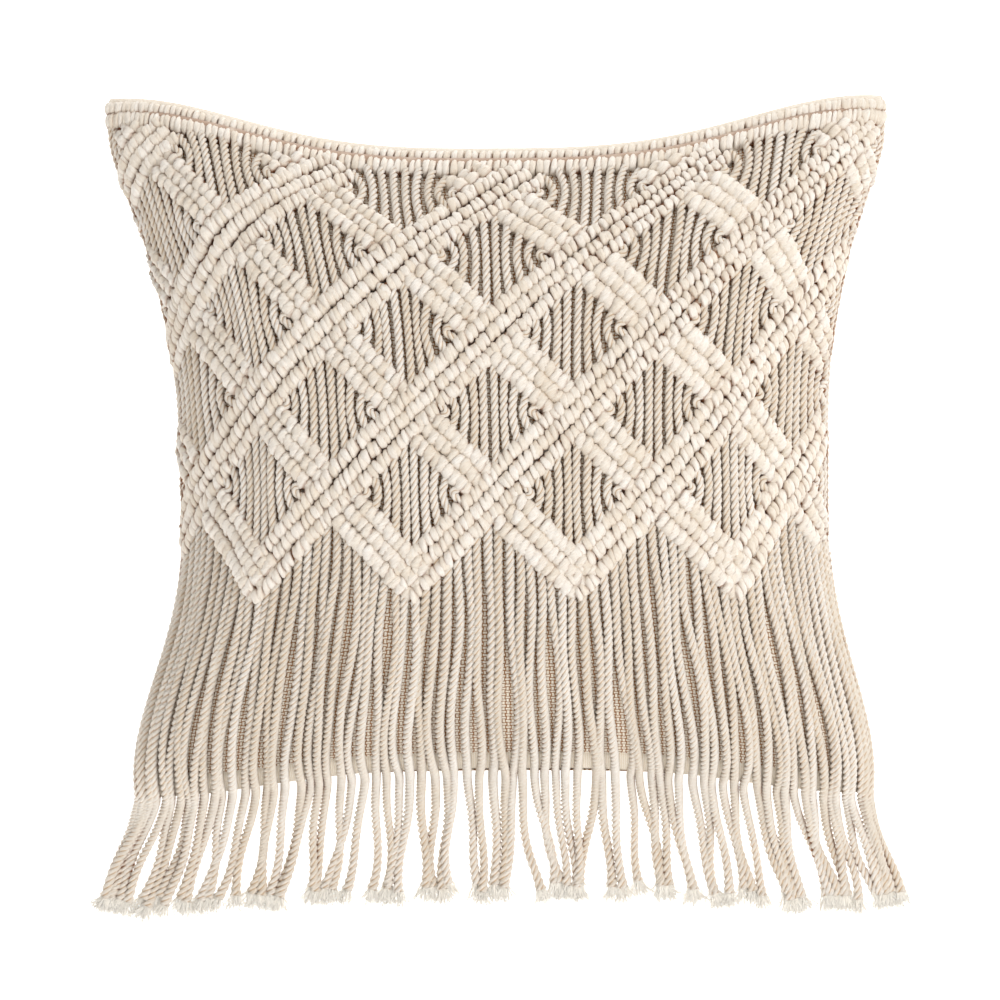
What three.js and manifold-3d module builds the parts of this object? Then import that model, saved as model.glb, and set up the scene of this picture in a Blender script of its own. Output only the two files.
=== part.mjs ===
import * as THREE from 'three';
import { mergeVertices } from 'three/addons/utils/BufferGeometryUtils.js';
import Module from 'manifold-3d';

// Square fringed cushion lying on its back. Millimetres, +Z up, fringe towards -Y.
// The origin is the middle of the flat patch of the back that touches the ground.

// Outline of the seam in plan, and how far each side is pulled in between its corners.
const corners = {
  topLeft: [-227, 199],
  topRight: [223, 201],
  bottomLeft: [-203, -206],
  bottomRight: [216, -203],
};
const sideSag = { top: 32, bottom: 16, left: 32, right: 31 };
const sagFlatness = 3;
const sagEar = 2.5;

// Height of the seam, and the crown above and below it.
const seamHeight = 46;
const seamDroop = 8;
const crownRise = 84;
const crownDepth = 68;
const crownSquareness = 2.4;
const crownFullness = 0.58;
const restRounding = 10;

// Layers. inset: how far the outline lies inside the cover's. half: half the seam's thickness.
// lift: how far the layer stays above the ground. zipRoom: how far it lies behind the zip.
const clothOuter = { inset: 0, half: 4, rise: crownRise, depth: crownDepth, lift: 0, zipRoom: 0 };
const clothInner = { inset: 0.9, half: 3.1, rise: crownRise, depth: crownDepth, lift: 0.9, zipRoom: 0.9 };
const caseOuter = { inset: 10, half: 2.2, rise: 83.5, depth: 66, lift: 1.3, zipRoom: 5.6 };
const caseInner = { inset: 10.7, half: 1.5, rise: 83.5, depth: 66, lift: 2, zipRoom: 6.3 };
const fillingOuter = { inset: 12.6, half: 0, rise: 82.6, depth: 64.5, lift: 3, zipRoom: 9 };
const strandInner = { inset: -2, half: 6, rise: crownRise };
const strandOuter = { inset: -5.4, half: 9.4, rise: crownRise };
const barInner = { inset: -6.6, half: 10.6, rise: crownRise };
const barOuter = { inset: -9.6, half: 13.6, rise: crownRise };

// Flat pattern of the knotted front: width across, height down from the top seam.
const flatWidth = 450;
const flatHeight = 455;
const latticeHalfPeriod = 47;
const latticeRow = 49;
const firstRowHeight = 53;
const lastLatticeRow = 5;
const lozengeHalfHeight = 24.5;
const bandHalfWidth = 12.4;
const bandCornerShare = 0.75;
const bandSideMargin = 10;
const bandStep = 17;
const barEndGap = 4.2;
const stripArch = 0.45;
const zigzagTipDepth = 15;
const hitchRowWidth = 6.6;
const headerStart = 4;
const headerDepth = 17;
const pieceGap = 0.6;

// The knotted sheet is sewn on a little askew: its lower rows sit further left.
const leanTop = 1;
const leanBottom = -6.5;
const leanStart = 40;
const leanLength = 120;

// Fringe beyond the bottom seam.
const fringeReach = 78;
const fringeReachLoss = 13;
const fringeLanding = 0.55;
const fringeSplay = 0.13;
const fringeThickness = 3.4;
const groundGap = 0.6;

// Zip in the back, just under the bottom seam.
const zipY = -182;
const zipLength = 316;
const zipSlotHalfWidth = 5.2;
const zipFlatHalfWidth = 10;
const zipTapeHalfWidth = 8;
const zipTapeThickness = 0.5;
const zipBlendWidth = 14;
const sliderStartX = -140;
const sliderLength = 9;
const sliderHalfWidth = 4.5;
const hingeHeight = 4.4;
const pullTabLength = 18;
const pullTabWidth = 6.6;

const gridSteps = 14;
const wasm = await Module();
wasm.setup();

const cushion = new THREE.Group();

function fabric(colour, roughness = 0.95) {
  return new THREE.MeshStandardMaterial({ color: colour, roughness, metalness: 0 });
}

const cottonCord = () => fabric(0xe3d7c3);
const baseCloth = () => fabric(0xc9b496);
const calico = () => fabric(0xeee8dc);
const fibreFill = () => fabric(0xf6f4ef, 1);
const zipTapeCloth = () => fabric(0xe4dccb);
const nylon = () => fabric(0xe9e2d2, 0.45);
const nickel = () => new THREE.MeshStandardMaterial({ color: 0xb9b6ae, roughness: 0.3, metalness: 1 });

function addMesh(name, geometry, material, parent = cushion) {
  const mesh = new THREE.Mesh(geometry, material);
  mesh.name = name;
  parent.add(mesh);
  return mesh;
}

// ---- The cushion's surface ----

function lerp(a, b, t) {
  return a + (b - a) * t;
}

function sag(q) {
  return (1 - Math.abs(2 * q - 1) ** sagFlatness) ** sagEar;
}

// Point of the plan outline patch. s runs left to right and t bottom to top, both 0 to 1.
function planPoint(s, t) {
  const x = lerp(
    lerp(corners.bottomLeft[0], corners.bottomRight[0], s),
    lerp(corners.topLeft[0], corners.topRight[0], s),
    t,
  );
  const y = lerp(
    lerp(corners.bottomLeft[1], corners.topLeft[1], t),
    lerp(corners.bottomRight[1], corners.topRight[1], t),
    s,
  );
  return [
    x + sag(t) * lerp(sideSag.left, -sideSag.right, s),
    y + sag(s) * lerp(sideSag.bottom, -sideSag.top, t),
  ];
}

function profile(a) {
  return Math.max(0, 1 - Math.abs(a) ** crownSquareness) ** crownFullness;
}

function seamZ(s, t) {
  return seamHeight - seamDroop * Math.abs((2 * s - 1) * (2 * t - 1)) ** 2;
}

function roundedAboveZero(h) {
  if (h <= -restRounding) return 0;
  if (h >= restRounding) return h;
  return (h + restRounding) ** 2 / (4 * restRounding);
}

function naturalBackZ(s, t, layer) {
  const crown = profile(2 * s - 1) * profile(2 * t - 1);
  const free = seamZ(s, t) - layer.half - layer.depth * crown - layer.lift;
  return layer.lift + roundedAboveZero(free);
}

function frontPoint(s, t, layer) {
  const [x, y] = planPoint(s, t);
  const crown = profile(2 * s - 1) * profile(2 * t - 1);
  return new THREE.Vector3(
    x - layer.inset * (2 * s - 1),
    y - layer.inset * (2 * t - 1),
    seamZ(s, t) + layer.half + layer.rise * crown,
  );
}

function naturalBackPoint(s, t, layer) {
  const [x, y] = planPoint(s, t);
  return new THREE.Vector3(
    x - layer.inset * (2 * s - 1),
    y - layer.inset * (2 * t - 1),
    naturalBackZ(s, t, layer),
  );
}

// Finds t where the outline patch has a given y.
function tAtY(s, y) {
  let low = 0;
  let high = 0.5;
  for (let step = 0; step < 40; step += 1) {
    const middle = (low + high) / 2;
    if (planPoint(s, middle)[1] < y) low = middle;
    else high = middle;
  }
  return (low + high) / 2;
}

// The zip lies straight in a plane: its origin, and the directions across it and out of it.
function zipFrame() {
  const t = tAtY(0.5, zipY);
  const here = naturalBackPoint(0.5, t, clothOuter);
  const above = naturalBackPoint(0.5, t - 0.01, clothOuter);
  const across = above.sub(here).setX(0).normalize();
  const along = new THREE.Vector3(1, 0, 0);
  const out = along.clone().cross(across);
  return { origin: new THREE.Vector3(0, here.y, here.z), along, across, out };
}

const zip = zipFrame();

function smoothStep(x) {
  const c = Math.min(1, Math.max(0, x));
  return c * c * (3 - 2 * c);
}

// The stiff tape draws the cloth near it into the zip's plane.
function backPoint(s, t, layer) {
  const point = naturalBackPoint(s, t, layer);
  const fromZip = point.clone().sub(zip.origin);
  const u = fromZip.dot(zip.across);
  const n = fromZip.dot(zip.out) + layer.zipRoom;
  const endFade = smoothStep((zipLength / 2 + 2 * zipBlendWidth - Math.abs(point.x)) / zipBlendWidth);
  const sideFade = smoothStep((zipFlatHalfWidth + zipBlendWidth - Math.abs(u)) / zipBlendWidth);
  return point.addScaledVector(zip.out, -n * endFade * sideFade);
}

// ---- Closed solids from grids of points ----

function trianglesToGeometry(points) {
  const positions = new Float32Array(points.length * 3);
  points.forEach((p, i) => p.toArray(positions, i * 3));
  const raw = new THREE.BufferGeometry();
  raw.setAttribute('position', new THREE.BufferAttribute(positions, 3));
  const merged = mergeVertices(raw, 1e-3);
  const index = merged.index.array;
  const kept = [];
  for (let i = 0; i < index.length; i += 3) {
    const [a, b, c] = [index[i], index[i + 1], index[i + 2]];
    if (a !== b && b !== c && c !== a) kept.push(a, b, c);
  }
  merged.setIndex(kept);
  merged.computeVertexNormals();
  return merged;
}

function quad(list, a, b, c, d) {
  list.push(a, b, c, a, c, d);
}

// Solid between two grids of the same size, the first one above the second. Seen from above,
// i runs to the right and j away.
function solidBetween(outer, inner) {
  const columns = outer.length - 1;
  const rows = outer[0].length - 1;
  const list = [];
  for (let i = 0; i < columns; i += 1) {
    for (let j = 0; j < rows; j += 1) {
      quad(list, outer[i][j], outer[i + 1][j], outer[i + 1][j + 1], outer[i][j + 1]);
      quad(list, inner[i][j], inner[i][j + 1], inner[i + 1][j + 1], inner[i + 1][j]);
    }
    quad(list, inner[i][0], inner[i + 1][0], outer[i + 1][0], outer[i][0]);
    quad(list, outer[i][rows], outer[i + 1][rows], inner[i + 1][rows], inner[i][rows]);
  }
  for (let j = 0; j < rows; j += 1) {
    quad(list, outer[0][j], outer[0][j + 1], inner[0][j + 1], inner[0][j]);
    quad(list, inner[columns][j], inner[columns][j + 1], outer[columns][j + 1], outer[columns][j]);
  }
  return trianglesToGeometry(list);
}

function grid(columns, rows, pointAt) {
  const result = [];
  for (let i = 0; i <= columns; i += 1) {
    const column = [];
    for (let j = 0; j <= rows; j += 1) column.push(pointAt(i, j));
    result.push(column);
  }
  return result;
}

// Steps that crowd towards the seams, where the surface turns fastest.
function crowded(i) {
  return 0.5 - 0.5 * Math.cos((Math.PI * i) / gridSteps);
}

// Values of t for a back panel of the cover: rows run straight along the zip's two tapes.
function rowsBesideZip(s) {
  const near = [1, 0.55, -0.55, -1].map((share) => share * zipFlatHalfWidth);
  near.push(-zipFlatHalfWidth - zipBlendWidth);
  const rows = [0, ...near.map((u) => tAtY(s, zipY + u * zip.across.y))];
  const start = rows[rows.length - 1];
  const rest = 10;
  for (let k = 1; k <= rest; k += 1) {
    rows.push(lerp(start, 1, Math.sin((Math.PI / 2) * (k / rest))));
  }
  return rows;
}

// A panel of the cover or the pad's case, with a rim that meets the seam plane.
function panelGrid(pointOn, layer, side) {
  const rowCount = rowsBesideZip(0.5).length - 1;
  return grid(gridSteps + 2, rowCount + 2, (i, j) => {
    const s = crowded(Math.min(gridSteps, Math.max(0, i - 1)));
    const t = rowsBesideZip(s)[Math.min(rowCount, Math.max(0, j - 1))];
    const point = pointOn(s, t, layer);
    const onRim = i === 0 || j === 0 || i === gridSteps + 2 || j === rowCount + 2;
    if (onRim) point.z = seamZ(s, t) + side * (pieceGap / 4);
    return point;
  });
}

function frontPanel(outer, inner) {
  return solidBetween(panelGrid(frontPoint, outer, 1), panelGrid(frontPoint, inner, 1));
}

function backPanel(outer, inner) {
  return solidBetween(panelGrid(backPoint, inner, -1), panelGrid(backPoint, outer, -1));
}

// ---- Flat pattern to surface ----

// Share of the cloth's length, from the middle out, against share of the plan width.
function clothShareTable(halfWidth) {
  const steps = 240;
  const lengths = [0];
  for (let i = 1; i <= steps; i += 1) {
    const dx = halfWidth / steps;
    const dz = crownRise * (profile(i / steps) - profile((i - 1) / steps));
    lengths.push(lengths[i - 1] + Math.hypot(dx, dz));
  }
  return lengths.map((length) => length / lengths[steps]);
}

const acrossTable = clothShareTable((planPoint(1, 0.5)[0] - planPoint(0, 0.5)[0]) / 2);
const downTable = clothShareTable((planPoint(0.5, 1)[1] - planPoint(0.5, 0)[1]) / 2);

function planShare(table, clothShare) {
  const share = Math.min(1, Math.abs(clothShare));
  let i = 1;
  while (i < table.length - 1 && table[i] < share) i += 1;
  const part = (share - table[i - 1]) / (table[i] - table[i - 1]);
  return (Math.sign(clothShare) * (i - 1 + part)) / (table.length - 1);
}

function patternPoint(u, v, layer) {
  const s = 0.5 + 0.5 * planShare(acrossTable, u / (flatWidth / 2));
  const t = 0.5 - 0.5 * planShare(downTable, v / (flatHeight / 2) - 1);
  return frontPoint(s, t, layer);
}

function patternLean(v) {
  return lerp(leanTop, leanBottom, smoothStep((v - leanStart) / leanLength));
}

// Lattice numbers m across and n down, in half periods, to flat pattern millimetres.
function latticeToFlat(m, n) {
  const v = firstRowHeight + n * latticeRow;
  return [m * latticeHalfPeriod + patternLean(v), v];
}

// Lower edge of the knotted part: points of a V under each lozenge of the last row.
function zigzagHeight(u) {
  const phase = Math.abs((Math.abs((u - leanBottom) / latticeHalfPeriod) % 2) - 1);
  const [, tip] = latticeToFlat(0, lastLatticeRow);
  return tip + zigzagTipDepth - (latticeRow - lozengeHalfHeight + zigzagTipDepth) * phase;
}

// A strip of knots on the pattern between two flat points, arched across its width.
function stripSolid(from, to, halfWidth, steps) {
  const direction = new THREE.Vector2(to[0] - from[0], to[1] - from[1]).normalize();
  const place = (layer, arch) => (i, j) => {
    const along = i / steps;
    const across = halfWidth * (j - 1);
    const u = lerp(from[0], to[0], along) + direction.y * across;
    const v = lerp(from[1], to[1], along) - direction.x * across;
    const point = patternPoint(u, v, layer);
    if (arch && j !== 1) point.lerp(patternPoint(u, v, barInner), stripArch);
    return point;
  };
  return solidBetween(grid(steps, 2, place(barOuter, true)), grid(steps, 2, place(barInner, false)));
}

// ---- Pad, cover and knotted front ----

function addPad() {
  const rowCount = rowsBesideZip(0.5).length - 1;
  const place = (pointOn) => (i, j) => {
    const s = crowded(i);
    return pointOn(s, rowsBesideZip(s)[j], fillingOuter);
  };
  const filling = solidBetween(
    grid(gridSteps, rowCount, place(frontPoint)),
    grid(gridSteps, rowCount, place(backPoint)),
  );
  addMesh('insert_filling', filling, fibreFill());
  addMesh('insert_case_front', frontPanel(caseOuter, caseInner), calico());
  addMesh('insert_case_back', backPanel(caseOuter, caseInner), calico());
}

function toManifold(geometry) {
  const bare = geometry.clone();
  bare.deleteAttribute('normal');
  bare.deleteAttribute('uv');
  const merged = mergeVertices(bare, 1e-4);
  return new wasm.Manifold(new wasm.Mesh({
    numProp: 3,
    vertProperties: new Float32Array(merged.attributes.position.array),
    triVerts: new Uint32Array(merged.index.array),
  }));
}

function toGeometry(solid) {
  const mesh = solid.getMesh();
  const geometry = new THREE.BufferGeometry();
  geometry.setAttribute('position', new THREE.BufferAttribute(new Float32Array(mesh.vertProperties), 3));
  geometry.setIndex(new THREE.BufferAttribute(new Uint32Array(mesh.triVerts), 1));
  geometry.computeVertexNormals();
  return geometry;
}

function zipGroup() {
  const group = new THREE.Group();
  const basis = new THREE.Matrix4().makeBasis(zip.along, zip.across, zip.out);
  group.quaternion.setFromRotationMatrix(basis);
  group.position.copy(zip.origin);
  group.updateMatrix();
  return group;
}

// Box in the zip's own axes: along, across and out of its plane.
function zipBox(x0, x1, u0, u1, n0, n1) {
  const box = new THREE.BoxGeometry(x1 - x0, u1 - u0, n1 - n0);
  return box.translate((x0 + x1) / 2, (u0 + u1) / 2, (n0 + n1) / 2);
}

function addCover() {
  addMesh('cover_front_cloth', frontPanel(clothOuter, clothInner), baseCloth());
  const placed = (box) => toManifold(box.applyMatrix4(zipGroup().matrix));
  const whole = toManifold(backPanel(clothOuter, clothInner));
  const half = zipLength / 2;
  const slot = placed(zipBox(-half, half, -zipSlotHalfWidth, zipSlotHalfWidth, -20, 20));
  const seamSide = (from) => placed(zipBox(-400, 400, from, 400, -500, 500));
  const back = whole.subtract(seamSide(-pieceGap / 2)).subtract(slot);
  const facing = whole.intersect(seamSide(pieceGap / 2)).subtract(slot);
  addMesh('cover_back_panel', toGeometry(back), baseCloth());
  addMesh('cover_zip_facing', toGeometry(facing), baseCloth());
}

function addStrandSheet() {
  const edge = flatWidth / 2;
  const columnSpacing = latticeHalfPeriod / 2;
  const inner = Math.floor(edge / columnSpacing);
  const columns = [-edge];
  for (let k = -inner; k <= inner; k += 1) columns.push(k * columnSpacing + leanBottom);
  columns.push(edge);
  const rows = 11;
  const last = columns.length + 1;
  const place = (layer) => (i, j) => {
    const u = columns[Math.min(columns.length - 1, Math.max(0, i - 1))];
    const row = Math.min(rows, j);
    const v = zigzagHeight(u) * (1 - row / rows);
    const point = patternPoint(u, v, layer);
    if (i === 0 || i === last || j === rows + 1) {
      const s = 0.5 + 0.5 * planShare(acrossTable, u / edge);
      const t = 0.5 - 0.5 * planShare(downTable, v / (flatHeight / 2) - 1);
      point.z = seamZ(s, t) + pieceGap / 4;
    }
    return point;
  };
  const solid = solidBetween(
    grid(last, rows + 1, place(strandOuter)),
    grid(last, rows + 1, place(strandInner)),
  );
  addMesh('macrame_strands', solid, cottonCord());
}

function addHeaderBars() {
  const reach = flatWidth / 2 - 3;
  for (let row = 0; row < 2; row += 1) {
    const v = headerStart + row * (hitchRowWidth + pieceGap);
    const bar = stripSolid([-reach, v], [reach, v], hitchRowWidth / 2, 22);
    addMesh(`header_bar_${row + 1}`, bar, cottonCord());
  }
}

// Lattice row at which the strips start, so that their corners stay clear of the header.
function firstKnotRow() {
  return (headerDepth + bandCornerShare * bandHalfWidth - firstRowHeight) / latticeRow;
}

// Where a band that rises to the right starts and ends: at a side, the zigzag or the header.
function bandEnds(number) {
  const side = (flatWidth / 2 - bandSideMargin) / latticeHalfPeriod;
  const top = firstKnotRow();
  const left = Math.max(-side, number - lastLatticeRow);
  const right = Math.min(side, number - top);
  return [latticeToFlat(left, number - left), latticeToFlat(right, number - right)];
}

function addBands() {
  for (let k = 0; k < 7; k += 1) {
    const number = 2 * k - 4;
    const [from, to] = bandEnds(number);
    const steps = Math.ceil(Math.hypot(to[0] - from[0], to[1] - from[1]) / bandStep);
    addMesh(`band_${k + 1}`, stripSolid(from, to, bandHalfWidth, steps), cottonCord());
  }
}

// Short bars that fall to the right between two bands, row by row.
function addBars() {
  const reach = 0.5 - (bandHalfWidth + barEndGap) / Math.hypot(latticeHalfPeriod, latticeRow);
  const top = firstKnotRow();
  for (let row = 0; row < 6; row += 1) {
    const n = row - 0.5;
    const shift = row % 2 === 0 ? -0.5 : 0.5;
    for (let k = -2; k <= 2; k += 1) {
      const m = 2 * k + shift;
      if (Math.abs(m) > 4) continue;
      const start = Math.max(-reach, top - n);
      const from = latticeToFlat(m + start, n + start);
      const to = latticeToFlat(m + reach, n + reach);
      addMesh(`bar_${row + 1}_${k + 3}`, stripSolid(from, to, bandHalfWidth, 4), cottonCord());
    }
  }
}

// One lock of fringe: it lies on the cushion to the seam, then falls to the ground and spreads.
function fringePoint(u, row, rowsOn, rowsFree, layer) {
  const start = zigzagHeight(u) + pieceGap;
  const v = lerp(start, flatHeight, Math.min(1, row / rowsOn));
  const point = patternPoint(u, v, layer);
  if (row <= rowsOn) return point;
  const w = (row - rowsOn) / rowsFree;
  const sheetShare = (layer.half - strandInner.half) / fringeThickness;
  const ground = groundGap + fringeThickness * sheetShare;
  const fall = Math.max(0, 1 - w / fringeLanding) ** 2;
  point.z = lerp(ground, point.z, fall);
  point.y -= (fringeReach - fringeReachLoss * (2 * u / flatWidth) ** 2) * w;
  point.x *= 1 + fringeSplay * w;
  return point;
}

function addFringe() {
  const edge = flatWidth / 2 - 1;
  const rowsOn = 8;
  const rowsFree = 8;
  const rows = rowsOn + rowsFree;
  for (let k = 0; k < 10; k += 1) {
    const left = k === 0 ? -edge : (k - 5) * latticeHalfPeriod + leanBottom + pieceGap;
    const right = k === 9 ? edge : (k - 4) * latticeHalfPeriod + leanBottom - pieceGap;
    const place = (layer) => (i, j) => (
      fringePoint(lerp(left, right, i / 2), rows - j, rowsOn, rowsFree, layer)
    );
    const lock = solidBetween(grid(2, rows, place(strandOuter)), grid(2, rows, place(strandInner)));
    addMesh(`fringe_lock_${k + 1}`, lock, cottonCord());
  }
}

// ---- Zip ----

const coilNear = 1.2;
const coilFar = 2.9;
const coilHalfHeight = 0.9;
const tapeTop = -1.25;
const plateInner = -2.1;
const plateOuter = 1.25;
const plateThickness = 0.95;
const bailRadius = 0.6;

function addZipChain(parent) {
  const half = zipLength / 2;
  const coilHalf = half - 6;
  for (const [name, side] of [['upper', 1], ['lower', -1]]) {
    const span = (near, far) => (side > 0 ? [near, far] : [-far, -near]);
    const tape = span(0.9, zipTapeHalfWidth);
    const coil = span(coilNear, coilFar);
    const tapeBox = zipBox(-half - 2, half + 2, ...tape, tapeTop - zipTapeThickness, tapeTop);
    const coilBox = zipBox(-coilHalf, coilHalf, ...coil, -coilHalfHeight, coilHalfHeight);
    addMesh(`zip_tape_${name}`, tapeBox, zipTapeCloth(), parent);
    addMesh(`zip_coil_${name}`, coilBox, nylon(), parent);
  }
  const stopStart = coilHalf + pieceGap;
  const stop = [-3.4, 3.4, tapeTop + pieceGap / 2, 1];
  addMesh('zip_stop_left', zipBox(-stopStart - 3, -stopStart, ...stop), nickel(), parent);
  addMesh('zip_stop_right', zipBox(stopStart, stopStart + 3, ...stop), nickel(), parent);
}

// Slider plate: a shield that narrows towards the closed end of the zip.
function sliderPlate(n0) {
  const half = sliderLength / 2;
  const shape = new THREE.Shape();
  shape.moveTo(-half, -sliderHalfWidth * 0.72);
  shape.lineTo(half - 1.5, -sliderHalfWidth);
  shape.lineTo(half, -sliderHalfWidth + 1.2);
  shape.lineTo(half, sliderHalfWidth - 1.2);
  shape.lineTo(half - 1.5, sliderHalfWidth);
  shape.lineTo(-half, sliderHalfWidth * 0.72);
  const plate = new THREE.ExtrudeGeometry(shape, {
    depth: plateThickness,
    bevelEnabled: true,
    bevelThickness: 0.15,
    bevelSize: 0.15,
    bevelOffset: -0.15,
    bevelSegments: 1,
  });
  return plate.translate(0, 0, n0);
}

function addSlider(parent) {
  const half = sliderLength / 2;
  const bailHalf = pullTabWidth / 2 + pieceGap;
  const lip = plateOuter - 0.9;
  const postTop = hingeHeight + bailRadius;
  const postFoot = plateOuter + plateThickness / 2;
  const bar = new THREE.CylinderGeometry(bailRadius, bailRadius, 2 * bailHalf + 1, 16);
  const pieces = [
    sliderPlate(plateInner - plateThickness),
    zipBox(half - 2.6, half - 0.6, -0.5, 0.5, plateInner - 0.4, plateOuter + 0.4),
    zipBox(-half + 1, half - 2, 3.3, 3.9, lip, plateOuter + 0.4),
    zipBox(-half + 1, half - 2, -3.9, -3.3, lip, plateOuter + 0.4),
    zipBox(-bailHalf - 0.9, -bailHalf, -0.8, 0.8, postFoot, postTop),
    zipBox(bailHalf, bailHalf + 0.9, -0.8, 0.8, postFoot, postTop),
    bar.rotateZ(Math.PI / 2).translate(0, 0, hingeHeight),
  ];
  let body = toManifold(sliderPlate(plateOuter));
  for (const piece of pieces) body = body.add(toManifold(piece));
  const slider = addMesh('zip_slider', toGeometry(body), nickel(), parent);
  slider.position.x = sliderStartX;
}

// Pull tab: a strip rolled round the bail, hanging straight down from it.
function addPullTab() {
  const eyeOuter = 1.75;
  const eyeInner = 0.95;
  const halfThickness = 0.7;
  const neck = Math.asin(halfThickness / eyeOuter);
  const outline = new THREE.Shape();
  outline.absarc(0, 0, eyeOuter, -Math.PI / 2 + neck, Math.PI * 1.5 - neck, false);
  outline.lineTo(-halfThickness, -pullTabLength);
  outline.lineTo(halfThickness, -pullTabLength);
  const eye = new THREE.Path();
  eye.absarc(0, 0, eyeInner, 0, Math.PI * 2, true);
  outline.holes.push(eye);
  const strip = new THREE.ExtrudeGeometry(outline, {
    depth: pullTabWidth,
    bevelEnabled: false,
    curveSegments: 20,
  });
  strip.translate(0, 0, -pullTabWidth / 2);
  const towardsPad = new THREE.Vector3(0, 1, 0);
  const up = new THREE.Vector3(0, 0, 1);
  strip.applyMatrix4(new THREE.Matrix4().makeBasis(towardsPad, up, zip.along));
  const hinge = zip.origin.clone().addScaledVector(zip.out, hingeHeight).setX(sliderStartX);
  addMesh('zip_pull_tab', strip, nickel()).position.copy(hinge);
}

function addZip() {
  const group = zipGroup();
  cushion.add(group);
  addZipChain(group);
  addSlider(group);
  addPullTab();
}

addPad();
addCover();
addStrandSheet();
addHeaderBars();
addBands();
addBars();
addFringe();
addZip();

export default cushion;
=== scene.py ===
import bpy
import math
import numpy as np
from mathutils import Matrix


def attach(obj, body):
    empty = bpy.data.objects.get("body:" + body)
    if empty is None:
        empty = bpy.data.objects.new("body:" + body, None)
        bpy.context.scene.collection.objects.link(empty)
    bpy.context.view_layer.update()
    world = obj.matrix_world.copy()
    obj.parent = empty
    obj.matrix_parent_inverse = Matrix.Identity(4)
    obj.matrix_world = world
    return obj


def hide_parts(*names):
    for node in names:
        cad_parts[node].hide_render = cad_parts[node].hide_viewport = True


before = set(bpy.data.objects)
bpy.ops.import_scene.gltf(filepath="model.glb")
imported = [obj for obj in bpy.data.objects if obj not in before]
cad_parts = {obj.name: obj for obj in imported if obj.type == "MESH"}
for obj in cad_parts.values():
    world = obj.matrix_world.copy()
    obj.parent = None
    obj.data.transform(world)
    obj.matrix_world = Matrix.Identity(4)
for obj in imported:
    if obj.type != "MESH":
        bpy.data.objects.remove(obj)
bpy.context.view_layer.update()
print("frame loaded:", len(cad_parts), "nodes")

# All lengths below are in millimetres. Meshes turn them to metres as they are made.
rng = np.random.default_rng(7)

# Colours

def srgb(code):
    channels = [int(code[i:i + 2], 16) / 255 for i in (1, 3, 5)]
    return [c / 12.92 if c <= 0.04045 else ((c + 0.055) / 1.055) ** 2.4 for c in channels] + [1.0]


def addObject(name, data):
    item = bpy.data.objects.new(name, data)
    bpy.context.scene.collection.objects.link(item)
    return item


# Camera, straight above the cushion with the fringe towards the bottom of the view

viewing = {
    "height": 2200,
    "lens": 134.9,
    "centre": (2, -34),
}


def addCamera():
    data = bpy.data.cameras.new("camera")
    data.lens = viewing["lens"]
    data.sensor_width = 36
    data.dof.use_dof = False
    camera = addObject("camera", data)
    camera.location = [c / 1000 for c in (*viewing["centre"], viewing["height"])]
    bpy.context.scene.camera = camera


addCamera()

# Cushion surface, the same shape as in the CAD model

cushion = {
    "topLeft": (-227, 199), "topRight": (223, 201),
    "bottomLeft": (-203, -206), "bottomRight": (216, -203),
    "sagTop": 32, "sagBottom": 16, "sagLeft": 32, "sagRight": 31,
    "sagFlatness": 3, "sagEar": 2.5,
    "seamHeight": 46, "seamDroop": 8,
    "rise": 84, "depth": 68,
    "squareness": 2.4, "fullness": 0.58,
    "restRounding": 10,
    "seamHalf": 4,
    "flatWidth": 450, "flatHeight": 455,
    "lift": 1.8,  # how much the knots at the edges stand up rather than out
}


def lerp(a, b, t):
    return a + (b - a) * t


def smoothStep(x):
    c = np.clip(x, 0, 1)
    return c * c * (3 - 2 * c)


def sideSag(q):
    return np.maximum(0, 1 - np.abs(2 * q - 1) ** cushion["sagFlatness"]) ** cushion["sagEar"]


def profile(a):
    return np.maximum(0, 1 - np.abs(a) ** cushion["squareness"]) ** cushion["fullness"]


def planPoint(s, t):
    c = cushion
    x = lerp(lerp(c["bottomLeft"][0], c["bottomRight"][0], s), lerp(c["topLeft"][0], c["topRight"][0], s), t)
    y = lerp(lerp(c["bottomLeft"][1], c["topLeft"][1], t), lerp(c["bottomRight"][1], c["topRight"][1], t), s)
    x = x + sideSag(t) * lerp(c["sagLeft"], -c["sagRight"], s)
    y = y + sideSag(s) * lerp(c["sagBottom"], -c["sagTop"], t)
    return x, y


def seamZ(s, t):
    return cushion["seamHeight"] - cushion["seamDroop"] * np.abs((2 * s - 1) * (2 * t - 1)) ** 2


def crown(s, t):
    return profile(2 * s - 1) * profile(2 * t - 1)


def frontBase(s, t, inset=0.0, half=cushion["seamHalf"], rise=cushion["rise"]):
    x, y = planPoint(s, t)
    z = seamZ(s, t) + half + rise * crown(s, t)
    return np.stack([x - inset * (2 * s - 1), y - inset * (2 * t - 1), z], -1)


# The zip lies straight in its own plane in the back, so the cloth beside it is flat there.
zipPlace = {
    "y": -182, "length": 316, "slotHalf": 5.2, "closedHalf": 0.3,
    "flatHalf": 10, "blend": 14, "endBlend": 20, "stopRoom": 6,
}


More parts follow.
